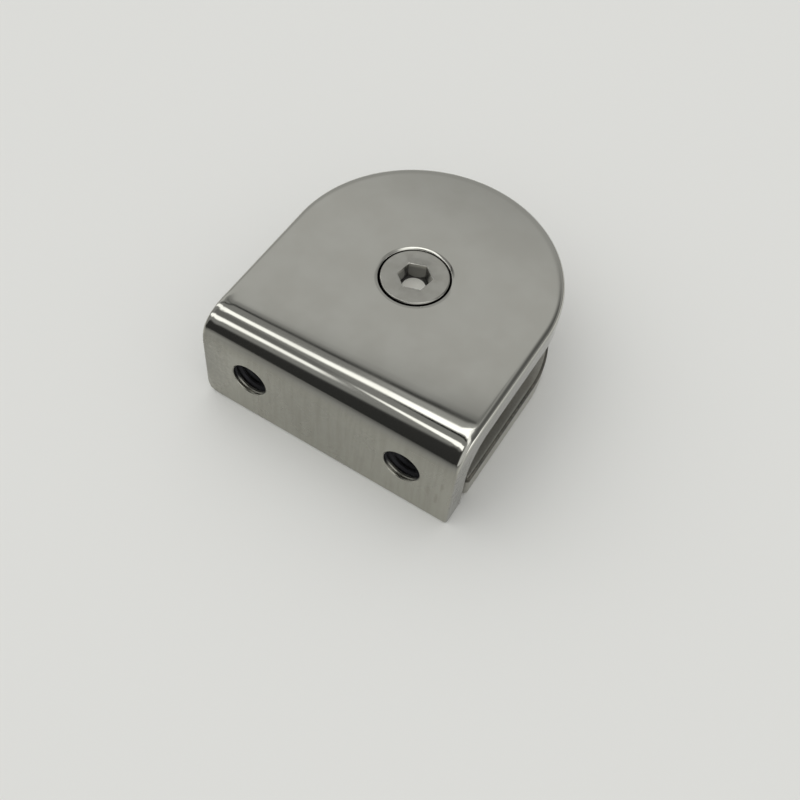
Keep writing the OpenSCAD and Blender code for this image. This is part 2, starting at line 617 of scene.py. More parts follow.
# %% [markdown]
# ## The screw's seat
#
# The seat is a counterbore with a clearance hole below it, a little off the screw's axis, as
# drilled holes often are. Its rim was polished together with the jaw. That has turned the sharp
# edge into a narrow slope, and the slope draws the bright arc behind the head. A chamfer would
# show one flat tone there, so the slope flattens towards the jaw instead.

# %% The screw's seat
seat_x = 0.06 * MM
seat_y = screw_y - 0.2 * MM
seat_edge = 0.15 * MM
seat_slope = 0.5 * MM
inner_tilt = 15
outer_tilt = 7


def polished_rim(steps=8):
    """Points up the seat's rim: a small round edge, then a slope that flattens towards the jaw."""
    tilts = [math.radians(outer_tilt + (inner_tilt - outer_tilt) * i / steps) for i in range(steps + 1)]
    radius = counterbore_radius + seat_edge * (1 - math.sin(tilts[-1])) + seat_slope
    slope = [(radius, top_z)]
    for tilt in tilts[1:]:
        last_radius, last_z = slope[-1]
        run = seat_slope / steps
        slope.append((last_radius - run, last_z - run * math.tan(tilt)))
    radius, z = slope[-1]
    centre = (radius + seat_edge * math.sin(tilts[-1]), z - seat_edge * math.cos(tilts[-1]))
    return arc(centre, seat_edge, 180, 90 + inner_tilt, 8)[:-1] + list(reversed(slope))


def seat_cutter():
    """The counterbore with its polished rim, and the clearance hole below."""
    over = 1 * MM
    rim = polished_rim()
    edge_radius = rim[-1][0] + over
    cutter = turned("seat", [
        (0, jaw_z - over),
        (shank_hole_radius, jaw_z - over),
        (shank_hole_radius, head_seat_z),
        (counterbore_radius, head_seat_z),
        *rim,
        (edge_radius, top_z + over * math.tan(math.radians(outer_tilt))),
        (edge_radius, top_z + over),
        (0, top_z + over),
    ], HEAD_STEPS)
    move_mesh(cutter, Matrix.Translation((seat_x, seat_y, 0)))
    return cutter


cut(clamp_body, [seat_cutter()])
print("seat's rim reaches", round(polished_rim()[-1][0] / MM, 2), "mm from its middle")

# %% [markdown]
# ## A dent in the rim
#
# There is one small dent beside the screw, such as a slipping key leaves. A little ball cut out of
# the rim makes it. It is real geometry, because a bump would not change the rim's outline. After
# that the body is finished and can be shaded.

# %% Dent
def dent(radius, from_axis, bearing, z):
    """A small ball that leaves a dent at a distance and a bearing from the screw's axis."""
    half_turn = [math.radians(a) for a in range(0, 181, 20)]
    ball = turned("dent", [(radius * math.sin(a), -radius * math.cos(a)) for a in half_turn], 16)
    angle = math.radians(bearing)
    place = (from_axis * math.cos(angle), screw_y + from_axis * math.sin(angle), z)
    move_mesh(ball, Matrix.Translation(place))
    return ball


cut(clamp_body, [dent(radius=0.3 * MM, from_axis=6.75 * MM, bearing=-51, z=top_z + 0.02 * MM)])
shade(clamp_body)
print("clamp body has", triangles(clamp_body), "triangles")

# %% [markdown]
# ## The pressure plate
#
# A loose D of plain steel under the glass. It has the jaw's outline, but ends in a straight edge
# just behind the web, so that it can slide up and down without touching it. It is tapped in the
# middle, and its edges are rounded a little and evenly, as tumbling leaves them. A plain bevel of
# one width gives just that.

# %% The pressure plate
plate_tap_crest = 4.06 * MM
plate_tap_length = 10 * MM
plate_tap_below = 2.5 * MM


def plate_blank():
    """A D-shaped plate with sharp edges."""
    bm = bmesh.new()
    outline = tip_points + [(-half_width, plate_low.y), (half_width, plate_low.y)]
    low = [bm.verts.new((x, y, plate_low.z)) for x, y in outline]
    high = [bm.verts.new((x, y, plate_high.z)) for x, y in outline]
    bm.faces.new(high)
    bm.faces.new(list(reversed(low)))
    count = len(outline)
    for i in range(count):
        j = (i + 1) % count
        bm.faces.new((low[i], low[j], high[j], high[i]))
    bm.normal_update()
    return bm


plate_bm = plate_blank()
weigh_edges(plate_bm, lambda edge: 1.0)
pressure_plate = new_piece("plain_pressure_plate", plate_bm)
round_edges(pressure_plate, plate_rim_radius, segments=5)
tap = threaded_rod("tap", plate_tap_crest, hole_radius, plate_tap_length)
move_mesh(tap, Matrix.Translation((0, screw_y, -plate_tap_below)))
cut(pressure_plate, [tap])
shade(pressure_plate)
print("pressure plate has", triangles(pressure_plate), "triangles")

# %% [markdown]
# ## The key's shape
#
# The hexagon socket is pressed into a drilled hole. It takes three shapes to cut: the hexagon
# itself, a slight flare where its mouth is broken, and the shallow drill point below. The flare
# belongs to the same bar as the hexagon, so one cut makes both and leaves no seam between them.

# %% The hexagon key
KEY_FLARE = 0.04 * MM
KEY_OVER = 0.1 * MM
KEY_SLANT = 4


def hexagon_key(name, across_flats, depth, turn):
    """A hexagon bar, flared where the socket's mouth is broken."""
    bm = bmesh.new()
    mouth = across_flats + 2 * KEY_SLANT * (KEY_FLARE + KEY_OVER)
    rings = []
    for flats, z in ((across_flats, -depth), (across_flats, -KEY_FLARE), (mouth, KEY_OVER)):
        radius = flats / 2 / math.cos(math.radians(30))
        ring = [turn + math.radians(60) * i for i in range(6)]
        rings.append([bm.verts.new((radius * math.cos(a), radius * math.sin(a), z)) for a in ring])
    for low, high in zip(rings, rings[1:]):
        for i in range(6):
            j = (i + 1) % 6
            bm.faces.new((low[i], low[j], high[j], high[i]))
    bm.faces.new(list(reversed(rings[0])))
    bm.faces.new(rings[-1])
    return new_piece(name, bm)


def drill_point(name, radius, depth, top):
    """The cone that a drill leaves, with a short cylinder above it."""
    return turned(name, [(0, -depth), (radius, 0), (radius, top), (0, top)], 48)


key = hexagon_key("key", socket_across_flats, socket_depth, socket_turn)
point_radius = socket_across_flats / 2 - 0.3 * MM
point = drill_point("point", point_radius, depth=0.8 * MM, top=0.5 * MM)
print("the socket's mouth is broken over", round(KEY_SLANT * KEY_FLARE / MM, 2), "mm")

# %% [markdown]
# ## The clamp screw
#
# A low headed M8 screw, turned from bar. Its shank is a threaded rod from the rule, and the head
# is a lathe shape joined to it. One turned shape would do for both, but it would have rings in
# place of a thread. The union makes them one closed solid. The head's edge is round, and has two
# small dents, such as handling leaves. It sits a tenth of a millimetre below the jaw.

# %% The clamp screw
head_z = top_z - 0.1 * MM
head_edge = 0.32 * MM
screw_crest = 3.98 * MM
screw_root = 3.35 * MM
neck_radius = screw_root + 0.2 * MM
neck_flare = screw_root + 0.6 * MM
head_foot_z = head_seat_z - 0.4 * MM
clamp_screw = threaded_rod("hexagon_socket_screw", screw_crest, screw_root, head_seat_z - screw_low.z)
move_mesh(clamp_screw, Matrix.Translation((0, 0, screw_low.z)))
head = turned("head", [
    (0, head_foot_z),
    (neck_radius, head_foot_z),
    (neck_flare, head_seat_z),
    (head_radius, head_seat_z),
    *arc((head_radius - head_edge, head_z - head_edge), head_edge, 0, 90, 6),
    (0, head_z),
], HEAD_STEPS)
modifier = clamp_screw.modifiers.new("head", "BOOLEAN")
modifier.operation = "UNION"
modifier.object = head
bake_modifiers(clamp_screw)
bpy.data.objects.remove(head)
move_mesh(key, Matrix.Translation((0, 0, head_z)))
move_mesh(point, Matrix.Translation((0, 0, head_z - socket_depth)))
cut(clamp_screw, [key, point])
move_mesh(clamp_screw, Matrix.Translation((0, screw_y, 0)))
for bearing in (144, 102):
    knock = dent(radius=0.25 * MM, from_axis=head_radius - 0.1 * MM, bearing=bearing, z=head_z + 0.02 * MM)
    cut(clamp_screw, [knock])
shade(clamp_screw)
print("clamp screw has", triangles(clamp_screw), "triangles")

# %% [markdown]
# ## Tools for shader trees
#
# What several finishes share is kept in shader groups, each built once. A group takes named
# inputs, gives back one value or mask, and is placed in a material with that material's own sizes.
# The helpers here build a group, place it, and mix two colours or values by a mask.

# %% Small helpers for shader trees
VALUE = "NodeSocketFloat"
VECTOR = "NodeSocketVector"


def vector_maths(tree, operation, first, second=(0, 0, 0)):
    return node(tree, "ShaderNodeVectorMath", {0: first, 1: second}, operation=operation).outputs


def smooth_step(tree, value, low, high):
    """Rises softly from 0 at low to 1 at high, which may also be the smaller of the two."""
    values = {"Value": value, "From Min": low, "From Max": high}
    return node(tree, "ShaderNodeMapRange", values, interpolation_type="SMOOTHSTEP").outputs["Result"]


def shader_group(name, inputs, output):
    """An empty group with named inputs and one output; hands back the tree and its inputs."""
    tree = bpy.data.node_groups.new(name, "ShaderNodeTree")
    for label, kind, default in inputs:
        tree_input(tree, label, kind, default)
    tree.interface.new_socket(output, in_out="OUTPUT", socket_type=VALUE)
    return tree, tree.nodes.new("NodeGroupInput").outputs


def use(tree, group, values, label=""):
    """Places a group, sets its inputs and hands back its one output."""
    return node(tree, "ShaderNodeGroup", values, node_tree=group, label=label).outputs[0]


def mix_colour(tree, factor, first, second):
    """Goes from the first colour to the second as the factor goes from 0 to 1."""
    mixed = node(tree, "ShaderNodeMix", {"Factor": factor}, data_type="RGBA")
    for label, colour in (("A", first), ("B", second)):
        if isinstance(colour, bpy.types.NodeSocket):
            tree.links.new(colour, mixed.inputs[label])
        else:
            mixed.inputs[label].default_value = (*colour, 1)
    return mixed.outputs["Result"]


def mix_value(tree, factor, first, second):
    return node(tree, "ShaderNodeMix", {"Factor": factor, "A": first, "B": second}).outputs["Result"]


print("a group puts out one", VALUE)

# %% [markdown]
# ## The floor
#
# A plain pale sheet. In the polished web it is seen fading out towards the viewer, because the
# far end of a real table lies in the dark of the room. To the left and right of the clamp it is
# seen brighter, where nothing shades it. A bigger room full of furniture could do the same. Here
# the sheet does it by itself, and only in reflections.

# %% Floor
FLOOR_FADE = 60 * MM
FLOOR_HALF = 600 * MM
SHADED_TO = 36 * MM
OPEN_FROM = 50 * MM
SHEET = (0.772, 0.774, 0.757)
OPEN_SHEET = (1, 1, 0.96)
DARKNESS = (0, 0, 0)


def sheet_material():
    """A dull pale sheet that darkens and brightens in reflections only."""
    material = bpy.data.materials.new("pale_floor")
    material.use_nodes = True
    tree = material.node_tree
    shader = tree.nodes["Principled BSDF"]
    shader.inputs["Roughness"].default_value = 0.9
    shader.inputs["Specular IOR Level"].default_value = 0.1
    place = node(tree, "ShaderNodeSeparateXYZ", {0: node(tree, "ShaderNodeTexCoord").outputs["Object"]})
    ahead = maths(tree, "MAXIMUM", maths(tree, "SUBTRACT", front_y, place.outputs["Y"]), 0)
    fade = maths(tree, "DIVIDE", 1, maths(tree, "MULTIPLY_ADD", ahead, 1 / FLOOR_FADE, 1))
    mirrored = node(tree, "ShaderNodeLightPath").outputs["Is Glossy Ray"]
    dark = maths(tree, "MULTIPLY", maths(tree, "SUBTRACT", 1, fade), mirrored)
    open_side = smooth_step(tree, maths(tree, "ABSOLUTE", place.outputs["X"]), SHADED_TO, OPEN_FROM)
    colour = mix_colour(tree, maths(tree, "MULTIPLY", open_side, mirrored), SHEET, OPEN_SHEET)
    tree.links.new(mix_colour(tree, dark, colour, DARKNESS), shader.inputs["Base Color"])
    return material


def add_floor():
    mesh = bpy.data.meshes.new("floor")
    corners = [(x * FLOOR_HALF, y * FLOOR_HALF, 0) for x, y in ((-1, -1), (1, -1), (1, 1), (-1, 1))]
    mesh.from_pydata(corners, [], [(0, 1, 2, 3)])
    floor = bpy.data.objects.new("floor", mesh)
    bpy.context.scene.collection.objects.link(floor)
    mesh.materials.append(sheet_material())


add_floor()
print("floor reflections fade to half at", round(FLOOR_FADE / MM), "mm")

# %% [markdown]
# ## Strips of light and dark
#
# Polished steel shows nothing but its surroundings, so most of the likeness is in the room. It is
# a soft studio: a bright ceiling behind the clamp, a dark room in front of it, a pale wall on its
# right with a dark patch above it and a low lamp beyond, and two long lamps overhead. Real lamps
# could be modelled, but a list of strips in the sky is easier to read. A strip's place is given by
# two angles from straight up, one towards the back of the room and one towards its right. It runs
# from one side angle to the other, and may lean and widen on the way.

# %% Strips of light and dark
# Name, then side angle, back angle and half width at the start and at the end, edge softness,
# all in degrees, and brightness. Later strips cover earlier ones.
STRIPS = [
    ("far ceiling", (-80, 62, 33), (2, 62, 33), 3, 0.55),
    ("near ceiling", (-80, 32, 11), (2, 32, 11), 3, 0.75),
    ("gap", (-75, -26.5, 50.7), (0, -16.0, 50.7), 1.6, 0.38),
    ("right haze", (-16, 26, 3), (0, 26, 3), 2, 0.60),
    ("between lamps", (-32, -10, 9), (-17, -10, 8), 3, 0.25),
    ("right wall", (6, -45, 62), (90, -45, 62), 6, 0.85),
    ("dark right", (6, 36, 19), (50, 40, 22), 5, 0.18),
    ("low right", (57, 68, 30), (90, 68, 30), 6, 2.4),
    ("dark gap", (-14, 9, 1.7), (-4, 9.5, 2.6), 1.2, 0.0),
    ("beam", (-50, 17.2, 1.5), (-6, 32.2, 1.3), 1.0, 0.05),
    ("dark turn", (-9, 31.4, 1.2), (-3, 33.5, 2.5), 1.5, 0.32),
    ("dark room", (-80, -187, 35), (2, -44, 35), 6, 0.045),
    ("lamp far left", (-62, 26.6, 5), (-24, 8.0, 4.5), 1.5, 2.2),
    ("lamp left", (-27, 5.6, 4.4), (-19.6, 11.1, 4.2), 1.5, 2.3),
    ("lamp middle", (-20, 10.9, 4.2), (-14.5, 16.4, 4.3), 1.5, 2.4),
    ("lamp right", (-15.2, 16.0, 4.4), (-2, 20.6, 4.8), 1.5, 2.8),
    ("lamp end", (-4, 17, 6), (14, 8, 8), 2, 1.9),
    ("front lamp far left", (-65, -24, 6), (-25, -28.5, 7), 3.5, 2.2),
    ("front lamp left", (-27, -32, 8), (-18, -18.4, 4.6), 3.5, 2.3),
    ("front lamp right", (-15.6, -9.8, 2.2), (-4, -16, 9.5), 2, 2.5),
]
# How softly a strip ends at its two side angles, in degrees.
USUAL_END_SOFTNESS = 1.5
END_SOFTNESS = {
    "far ceiling": 6, "near ceiling": 6, "right wall": 4, "dark right": 13, "low right": 4,
    "beam": 3, "dark room": 5, "lamp right": 3,
}
print(len(STRIPS), "strips, the brightest", max(strip[4] for strip in STRIPS))

# %% [markdown]
# ## One strip as a group
#
# All strips use one node group. It compares the direction of the light with the strip's middle
# line at that side angle, and gives a mask that fades out over the softness. With a group the list
# above is all that has to be changed to move a lamp.

# %% The group of a strip
def strip_group():
    """A soft-edged strip in the sky: a mask that is 1 inside it and 0 outside."""
    inputs = [(label, VALUE, 1.0) for label in ("Side Angle", "Back Angle", "Softness", "End Softness")]
    inputs += [(label, VECTOR, None) for label in ("Start", "End")]
    tree, given = shader_group("studio_strip", inputs, "Mask")
    start = node(tree, "ShaderNodeSeparateXYZ", {0: given["Start"]}).outputs
    end = node(tree, "ShaderNodeSeparateXYZ", {0: given["End"]}).outputs
    side = given["Side Angle"]
    length = maths(tree, "SUBTRACT", end["X"], start["X"])
    along = maths(tree, "DIVIDE", maths(tree, "SUBTRACT", side, start["X"]), length)
    lean = maths(tree, "SUBTRACT", end["Y"], start["Y"])
    centre = maths(tree, "MULTIPLY_ADD", along, lean, start["Y"])
    widening = maths(tree, "SUBTRACT", end["Z"], start["Z"])
    half = maths(tree, "MULTIPLY_ADD", along, widening, start["Z"])
    offset = maths(tree, "ABSOLUTE", maths(tree, "SUBTRACT", given["Back Angle"], centre))

    def soft_edge(value, edge, softness, outside, inside):
        low = maths(tree, outside, edge, softness)
        high = maths(tree, inside, edge, softness)
        return smooth_step(tree, value, low, high)

    across = soft_edge(offset, half, given["Softness"], "ADD", "SUBTRACT")
    begun = soft_edge(side, start["X"], given["End Softness"], "SUBTRACT", "ADD")
    ended = soft_edge(side, end["X"], given["End Softness"], "ADD", "SUBTRACT")
    node(tree, "NodeGroupOutput", {"Mask": fold(tree, "MULTIPLY", (begun, ended, across))})
    return tree


strip = strip_group()
print("a strip takes", len(strip.nodes), "nodes")

# %% [markdown]
# ## The room
#
# The strips are laid over a sky that is a little brighter overhead than near the horizon. The
# floor is lit by a softer light of its own, so that its shadows don't depend on the strips: rays
# that leave a polished face see the strips, rays that leave the floor see the soft light, and the
# camera sees a plain backdrop.

# %% The room
REFLECTED = (1, 1, 0.97, 1)
ON_FLOOR = (1, 1, 0.985, 1)
BACKDROP = (0.7, 0.7, 0.68, 1)
OVERHEAD = Vector((-0.45, -0.05, 0.89)).normalized()
HORIZON_LIGHT = 0.25
SKY_LIGHT = 0.52
HORIZON_HEIGHT = 0.25
FLOOR_LIGHT = 0.52
FLOOR_LIGHT_OVERHEAD = 0.9


def room_brightness(tree, direction):
    """The sky with all its strips, as one brightness for each direction."""
    x, y, z = node(tree, "ShaderNodeSeparateXYZ", {0: direction}).outputs
    side = maths(tree, "MULTIPLY", maths(tree, "ARCSINE", x), math.degrees(1))
    back = maths(tree, "MULTIPLY", maths(tree, "ARCTAN2", y, z), math.degrees(1))
    room = mix_value(tree, smooth_step(tree, z, 0.0, HORIZON_HEIGHT), HORIZON_LIGHT, SKY_LIGHT)
    for name, start, end, softness, brightness in STRIPS:
        mask = use(tree, strip, {
            "Side Angle": side, "Back Angle": back, "Start": start, "End": end,
            "Softness": softness, "End Softness": END_SOFTNESS.get(name, USUAL_END_SOFTNESS),
        }, label=name)
        room = mix_value(tree, mask, room, brightness)
    return room


def add_light():
    world = bpy.data.worlds.new("studio")
    world.use_nodes = True
    tree = world.node_tree
    tree.nodes.clear()
    direction = node(tree, "ShaderNodeTexCoord").outputs["Generated"]
    room = room_brightness(tree, direction)
    lean = vector_maths(tree, "DOT_PRODUCT", direction, OVERHEAD)["Value"]
    lobe = maths(tree, "POWER", maths(tree, "MAXIMUM", lean, 0), 2)
    for_floor = maths(tree, "MULTIPLY_ADD", lobe, FLOOR_LIGHT_OVERHEAD, FLOOR_LIGHT)
    skies = [
        node(tree, "ShaderNodeBackground", {"Color": colour, "Strength": strength}).outputs[0]
        for colour, strength in ((REFLECTED, room), (ON_FLOOR, for_floor), (BACKDROP, 1.0))
    ]
    path = node(tree, "ShaderNodeLightPath").outputs
    lit = node(tree, "ShaderNodeMixShader", {0: path["Is Glossy Ray"], 1: skies[1], 2: skies[0]})
    seen = node(tree, "ShaderNodeMixShader", {0: path["Is Camera Ray"], 1: lit.outputs[0], 2: skies[2]})
    node(tree, "ShaderNodeOutputWorld", {"Surface": seen.outputs[0]})
    bpy.context.scene.world = world
    return world


studio = add_light()
bpy.context.scene.view_settings.view_transform = "Standard"
print("the studio has", len(studio.node_tree.nodes), "nodes")

# %% [markdown]
# ## Grain, clouds and rings
#
# Six node groups hold what the surfaces of the three pieces have in common. These are the first
# three. `steel_grain` is the fine lines that a belt or a cutter leaves: noise, stretched along one
# direction. `slow_change` is a soft cloud, for wear from hands and for the slight waviness of a
# polished face. `turned_rings` is the mark of a lathe tool, noise that depends only on the radius.

# %% Grain, clouds and rings
def grain_group():
    inputs = [("Position", VECTOR, None), ("Lines Per Metre", VECTOR, (100, 100, 3000))]
    tree, given = shader_group("steel_grain", inputs, "Height")
    stretched = vector_maths(tree, "MULTIPLY", given["Position"], given["Lines Per Metre"])["Vector"]
    noise = node(tree, "ShaderNodeTexNoise", {"Vector": stretched, "Scale": 1.0, "Detail": 3.0})
    node(tree, "NodeGroupOutput", {"Height": noise.outputs["Fac"]})
    return tree


def change_group():
    inputs = [("Position", VECTOR, None), ("Patches Per Metre", VALUE, 100.0), ("Detail", VALUE, 2.0)]
    tree, given = shader_group("slow_change", inputs, "Amount")
    noise = node(tree, "ShaderNodeTexNoise", {
        "Vector": given["Position"], "Scale": given["Patches Per Metre"], "Detail": given["Detail"],
    })
    node(tree, "NodeGroupOutput", {"Amount": smooth_step(tree, noise.outputs["Fac"], 0.3, 0.7)})
    return tree


def rings_group():
    inputs = [("Position", VECTOR, None), ("Centre", VECTOR, None), ("Rings Per Metre", VALUE, 6000.0)]
    tree, given = shader_group("turned_rings", inputs, "Height")
    spot = vector_maths(tree, "SUBTRACT", given["Position"], given["Centre"])["Vector"]
    flat = vector_maths(tree, "MULTIPLY", spot, (1, 1, 0))["Vector"]
    radius = vector_maths(tree, "LENGTH", flat)["Value"]
    turns = maths(tree, "MULTIPLY", radius, given["Rings Per Metre"])
    noise = node(tree, "ShaderNodeTexNoise", {"W": turns, "Scale": 1.0, "Detail": 2.0}, noise_dimensions="1D")
    node(tree, "NodeGroupOutput", {"Height": noise.outputs["Fac"]})
    return tree


steel_grain = grain_group()
slow_change = change_group()
turned_rings = rings_group()
print("groups:", [group.name for group in (steel_grain, slow_change, turned_rings)])

# %% [markdown]
# ## Recesses and stains
#
# The inside of a hole is painted darker with depth, as painted shade.
# `recess` is 0 at the mouth of a hole and 1 deep inside it. `stain` is one soft blot with a ragged
# edge. Both measure from a place on the piece, so nothing has to be wrapped round it.

# %% Recesses and stains
def recess_group():
    inputs = [
        ("Position", VECTOR, None), ("Mouth", VECTOR, None), ("Inwards", VECTOR, (0, 0, -1)),
        ("Radius", VALUE, 4 * MM), ("Starts", VALUE, 0.3 * MM), ("Full", VALUE, 2 * MM),
    ]
    tree, given = shader_group("recess", inputs, "Mask")
    spot = vector_maths(tree, "SUBTRACT", given["Position"], given["Mouth"])["Vector"]
    depth = vector_maths(tree, "DOT_PRODUCT", spot, given["Inwards"])["Value"]
    from_mouth = vector_maths(tree, "LENGTH", spot)["Value"]
    squares = (maths(tree, "POWER", from_mouth, 2), maths(tree, "POWER", depth, 2))
    radius = maths(tree, "SQRT", fold(tree, "SUBTRACT", squares))
    inside = maths(tree, "LESS_THAN", radius, given["Radius"])
    deep = smooth_step(tree, depth, given["Starts"], given["Full"])
    node(tree, "NodeGroupOutput", {"Mask": maths(tree, "MULTIPLY", inside, deep)})
    return tree


def stain_group():
    inputs = [("Position", VECTOR, None), ("Centre", VECTOR, None), ("Size", VECTOR, (1, 1, 1))]
    tree, given = shader_group("stain", inputs, "Mask")
    spot = vector_maths(tree, "SUBTRACT", given["Position"], given["Centre"])["Vector"]
    scaled = vector_maths(tree, "DIVIDE", spot, given["Size"])["Vector"]
    distance = vector_maths(tree, "LENGTH", scaled)["Value"]
    noise = node(tree, "ShaderNodeTexNoise", {"Vector": given["Position"], "Scale": 1500.0, "Detail": 2.0})
    ragged = maths(tree, "MULTIPLY_ADD", noise.outputs["Fac"], 1.2, distance)
    node(tree, "NodeGroupOutput", {"Mask": smooth_step(tree, ragged, 1.6, 0.7)})
    return tree


recess = recess_group()
stain = stain_group()
print("groups:", [group.name for group in (recess, stain)])

# %% [markdown]
# ## A worn corner
#
# A polishing wheel takes a little more from a corner of the jaw than from its edges. The loss is
# far too small to see as shape, but in a mirror it bends every reflection round the corner, so it
# is a bump and not a modelled dip. `soft_corner` gives the height. It adds the fall towards the
# two edges and takes away the fall from the centre of the round, which leaves the edges straight.

# %% A worn corner
def corner_group():
    """The height of a surface whose corner is worn round, measured from the centre of the round."""
    inputs = [
        ("Position", VECTOR, None), ("Centre", VECTOR, None), ("Side", VALUE, 1.0),
        ("Reach", VALUE, 1.8 * MM), ("Tilt", VALUE, 0.055),
    ]
    tree, given = shader_group("soft_corner", inputs, "Height")
    spot = vector_maths(tree, "SUBTRACT", given["Position"], given["Centre"])["Vector"]
    x, y, _ = node(tree, "ShaderNodeSeparateXYZ", {0: spot}).outputs
    across = maths(tree, "MAXIMUM", maths(tree, "MULTIPLY", x, given["Side"]), 0)
    ahead = maths(tree, "MAXIMUM", maths(tree, "MULTIPLY", y, -1), 0)
    squares = (maths(tree, "POWER", across, 2), maths(tree, "POWER", ahead, 2))
    apart = maths(tree, "SQRT", fold(tree, "ADD", squares))

    def drop(distance, bend=1.35):
        """Steeper and steeper up to bend times the reach, and straight beyond."""
        share = maths(tree, "DIVIDE", distance, given["Reach"])
        near = maths(tree, "MINIMUM", share, bend)
        bent = maths(tree, "MULTIPLY", maths(tree, "POWER", near, 4), 0.25)
        straight = maths(tree, "MULTIPLY", maths(tree, "SUBTRACT", share, near), bend ** 3)
        return maths(tree, "ADD", bent, straight)

    edges = maths(tree, "ADD", drop(across), drop(ahead))
    rounded = maths(tree, "SUBTRACT", edges, drop(apart))
    height = fold(tree, "MULTIPLY", (rounded, given["Reach"], given["Tilt"]))
    node(tree, "NodeGroupOutput", {"Height": height})
    return tree


soft_corner = corner_group()
print("a worn corner takes", len(soft_corner.nodes), "nodes")

# %% [markdown]
# ## Steel and its colours
#
# All three pieces are the same stainless steel, so they start from one metal and differ in finish.
# A polished face reflects with its full colour. A ground end or a turned face sends part of the
# light astray and looks darker. The pressure plate's upper edge is painted nearly black, as painted
# shade. Painted shade deep in the holes, the seat and the socket is a darker, rougher metal, which
# is enough at this size.

# %% Steel and its colours
POLISHED = (0.441, 0.439, 0.411)
BRUSHED = (0.452, 0.447, 0.398)
ENDS = (0.375, 0.372, 0.350)
MILLED = (0.54, 0.535, 0.50)
FACED = (0.44, 0.435, 0.405)
# Painted shade: the nearly black upper edge of the pressure plate, under the jaw.
PAINTED_SHADE_RIM = (0.05, 0.05, 0.047)
TURNED = (0.39, 0.387, 0.362)
# Painted light: the pale spot on the socket's floor.
PAINTED_SOCKET_LIGHT = (0.97, 0.96, 0.89)
# Painted shade deep in the holes, the seat and the socket; the web's dull patches use it too.
SHADE_AND_DULL = (0.05, 0.05, 0.055)
BROWN = (0.26, 0.24, 0.20)


def new_steel(name):
    """A metal with its shader and its place in the frame."""
    steel = bpy.data.materials.new(name)
    steel.use_nodes = True
    tree = steel.node_tree
    shader = tree.nodes["Principled BSDF"]
    shader.inputs["Metallic"].default_value = 1
    place = node(tree, "ShaderNodeTexCoord").outputs["Object"]
    return steel, tree, shader, place


def tint(tree, colour, layers):
    """Lays each (mask, strength, second colour) over the colour, one after the other."""
    for mask, strength, second in layers:
        if strength != 1:
            mask = maths(tree, "MULTIPLY", mask, strength)
        colour = mix_colour(tree, mask, colour, second)
    return colour


def bumps(tree, shader, layers):
    """Chains one bump for each pair of height and depth."""
    normal = None
    for height, depth in layers:
        bump = node(tree, "ShaderNodeBump", {"Height": height, "Distance": depth, "Strength": 1.0})
        if normal is not None:
            tree.links.new(normal, bump.inputs["Normal"])
        normal = bump.outputs["Normal"]
    tree.links.new(normal, shader.inputs["Normal"])


print("polished steel reflects", POLISHED)

# %% [markdown]
# ## Painted shade and stains on the body
#
# The two fixing holes and the screw's seat are painted darker with depth, as painted shade. Only
# the lower lip of a fixing hole is kept mostly free of it. On the web's face are two dull patches,
# and a few brown streaks near its right end. A list of single spots is chosen for these, because a
# noise over the whole face wouldn't put them in their places.

# %% Painted shade and stains on the body
# Depths between which the steel is painted dark, as painted shade.
HOLE_SHADE = (0, 0.6 * MM)
SEAT_SHADE = (0.3 * MM, 0.8 * MM)
# The lower lip of a fixing hole: from where to where the painted shade is lifted, and how much.
LIP_HEIGHT = (hole_z - 1.5 * MM, hole_z - 3 * MM)
LIP_DEPTH = (front_y + 1.5 * MM, front_y + 0.7 * MM)
SHADE_LIFTED = 0.8
# Place across and up the web, reach across and up, all in millimetres, and strength.
BROWN_STREAKS = [(20.6, 7.5, 0.7, 3.2, 0.35), (22.3, 6.2, 0.5, 2.4, 0.35), (23.0, 10.5, 0.4, 1.8, 0.35)]
DULL_PATCHES = [(-25.5, 9, 8, 14, 0.26), (-1, 9, 18, 14, 0.09)]
SPOT_DEPTH = 2 * MM


def body_painted_shade(tree, place):
    """Painted shade: 1 deep in the fixing holes and in the screw's seat, and 0 on the open faces."""
    _, y, z = node(tree, "ShaderNodeSeparateXYZ", {0: place}).outputs
    holes = [use(tree, recess, {
        "Position": place, "Mouth": (side * hole_x, front_y, hole_z), "Inwards": (0, 1, 0),
        "Radius": tap_crest + 0.1 * MM, "Starts": HOLE_SHADE[0], "Full": HOLE_SHADE[1],
    }) for side in (-1, 1)]
    low_side = smooth_step(tree, z, *LIP_HEIGHT)
    shallow = smooth_step(tree, y, *LIP_DEPTH)
    unshaded_lip = fold(tree, "MULTIPLY", (low_side, shallow, SHADE_LIFTED))
    in_holes = maths(tree, "MULTIPLY", fold(tree, "MAXIMUM", holes), maths(tree, "SUBTRACT", 1, unshaded_lip))
    in_seat = use(tree, recess, {
        "Position": place, "Mouth": (seat_x, seat_y, top_z), "Inwards": (0, 0, -1),
        "Radius": counterbore_radius + 0.05 * MM, "Starts": SEAT_SHADE[0], "Full": SEAT_SHADE[1],
    })
    return maths(tree, "MAXIMUM", in_holes, in_seat)


def web_spots(tree, place, spots, operation):
    """One mask of all the spots on the web's face."""
    masks = []
    for across, up, wide, high, strength in spots:
        mask = use(tree, stain, {
            "Position": place, "Centre": (across * MM, front_y, up * MM),
            "Size": (wide * MM, SPOT_DEPTH, high * MM),
        })
        masks.append(maths(tree, "MULTIPLY", mask, strength))
    return fold(tree, operation, masks)


print(len(BROWN_STREAKS), "brown streaks and", len(DULL_PATCHES), "dull patches on the web")

# %% [markdown]
# ## Worn corners of the jaw
#
# Both front corners of the jaw get the soft corner. It is kept to the jaw's top, and fades out
# just before the rim, which is round already. Without it the reflected lines meet at the corner in
# a sharp angle, which no hand-polished steel shows.

# %% Worn corners of the jaw
CORNER_IN = 3.1 * MM
CORNER_BACK = 8 * MM
JAW_TOP = (top_z - 5 * MM, top_z - 2.5 * MM)
INSIDE_RIM = (half_width - 0.1 * MM, half_width - 0.8 * MM)


